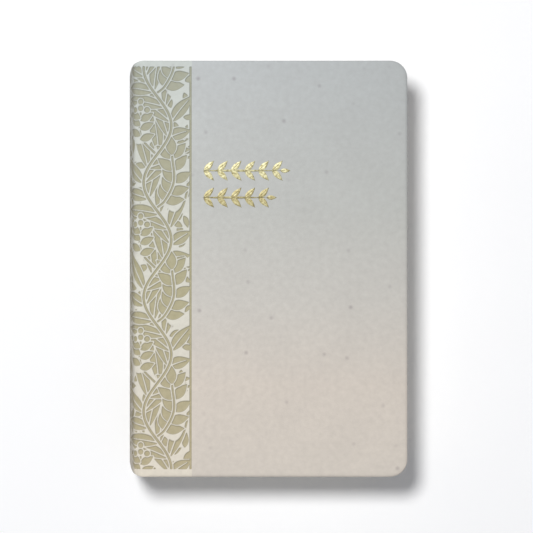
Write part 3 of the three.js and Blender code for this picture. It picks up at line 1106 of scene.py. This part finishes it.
# Painted reflection: small clouds of dark and pale gold stand in for the reflections of the foil's
# dents.
painted_reflection_patches = use_group(tree, cloud_group, where, Size_in_mm=1.5)
lower_line = ranged(
    tree, coordinate(tree, where, "Y"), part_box("foil_sprig_upper")[0].y,
    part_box("foil_sprig_lower")[1].y, at_high=0.4,
)
gold = blend_colours(tree, painted_reflection_patches, colour(118, 107, 64), colour(213, 209, 168))
gold = blend_colours(tree, lower_line, gold, colour(122, 104, 52))
tree.links.new(gold, shader.inputs["Base Color"])
bump(tree, shader, use_group(tree, pebble_group, where, Grain_in_mm=0.5), 0.5, 0.06)

# %% Foil sprigs
FOIL_FLOOR = THICKNESS + 0.02 * MM
FOIL_PITCH = 7.9 * MM


def foil_leaf(root_x, root_y, degrees, length, width, bend):
    """Grids of a leaf's top and underside.

    The half width is width / 2 * sin(pi * t ** 0.8), kept a little open at both ends. The top is
    a dome 1 - w squared with a groove exp(-(6 w) squared), where w runs from -1 to 1 across.
    """
    t, w = np.meshgrid(np.linspace(0, 1, 25), np.linspace(-1, 1, 17))
    half = width / 2 * np.maximum(np.sin(np.pi * t**0.8), 0.04)
    forward, sideways = length * t, bend * length * t**2 + half * w
    c, s = math.cos(math.radians(degrees)), math.sin(math.radians(degrees))
    x = root_x + forward * c - sideways * s
    y = root_y + forward * s + sideways * c
    dome = (0.05 + 0.11 * (1 - w**2) - 0.08 * np.exp(-((6 * w) ** 2))) * MM
    return np.stack([x, y, FOIL_FLOOR + dome], -1), np.stack([x, y, x * 0 + FOIL_FLOOR], -1)


def foil_sprig(name, node):
    """A stem with pairs of leaves, as many as fit into the node's box, and one at the tip."""
    low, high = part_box(node)
    stem_y = (low.y + high.y) / 2
    reach = (high.y - low.y) / 2
    pairs = int((high.x - low.x) / FOIL_PITCH)
    plates = []
    for k in range(pairs):
        root = low.x + (k * FOIL_PITCH + 0.6 * MM)
        for side in (1, -1):
            plates.append(foil_leaf(root, stem_y + side * 0.3 * MM, side * 30, reach * 1.52,
                                    3.3 * MM, side * 0.22))
    tip = low.x + pairs * FOIL_PITCH - 2.6 * MM
    plates.append(foil_leaf(tip, stem_y, 0, 5.8 * MM, 2.5 * MM, 0))
    plates.append(foil_leaf(low.x, stem_y, 0, tip + 1.6 * MM - low.x, 1.3 * MM, 0))
    points, faces, start = [], [], 0
    for top, under in plates:
        leaf_points, leaf_faces = shell(top, under)
        points.append(leaf_points)
        faces += [numbers + start for numbers in leaf_faces]
        start += len(leaf_points)
    piece = shade(face_outwards(new_piece(name, np.concatenate(points), faces)), angle=40)
    piece.data.materials.append(gold_foil)
    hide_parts(node)
    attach(piece, "front_cover")
    return piece


foil_sprig("upper_sprig", "foil_sprig_upper")
foil_sprig("lower_sprig", "foil_sprig_lower")

# %% [markdown]
# ## Boards, endpapers and loose leaves
#
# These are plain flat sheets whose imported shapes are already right, so they only get a finish: grey
# card for the boards and the spine liner, a smooth cream paper for the endpapers, and the text
# paper for the two leaves at the middle opening.

# %% Finishes of the flat sheets
grey_card = clouded(
    "grey_card", 2.0, (150, 146, 138), (176, 171, 160), roughness=0.9, specular=0.2, place="object"
)[0]
endpaper, tree, shader, where, fibres = clouded(
    "endpaper", 1.6, (236, 229, 211), (244, 238, 223), roughness=0.75, specular=0.25, place="object"
)
bump(tree, shader, fibres, 0.1, 0.03)
loose_paper = clouded(
    "loose_paper", 2.5, *PAPER_TONES, roughness=0.85, specular=0.2, place="object"
)[0]
for finish, nodes in (
    (grey_card, ("back_board", "front_board", "spine_liner")),
    (endpaper, ("back_pastedown", "front_pastedown", "back_flyleaf", "front_flyleaf")),
    (loose_paper, ("middle_leaf_back", "middle_leaf_front")),
):
    for node in nodes:
        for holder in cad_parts[node].material_slots:
            holder.material = finish

# %% Floor
floor_mesh = bpy.data.meshes.new("floor")
FLOOR_Z = -0.1 * MM  # just clear of the back cover's outer face
corners = [(x, y, FLOOR_Z) for x, y in ((-4, -4), (4, -4), (4, 4), (-4, 4))]
floor_mesh.from_pydata(corners, [], [(0, 1, 2, 3)])
floor = bpy.data.objects.new("floor", floor_mesh)
bpy.context.scene.collection.objects.link(floor)
floor_paint = clouded(
    "floor_paint", 300.0, (250, 250, 250), (253, 253, 253), roughness=0.9, specular=0.1,
    place="object",
)[0]
floor.data.materials.append(floor_paint)
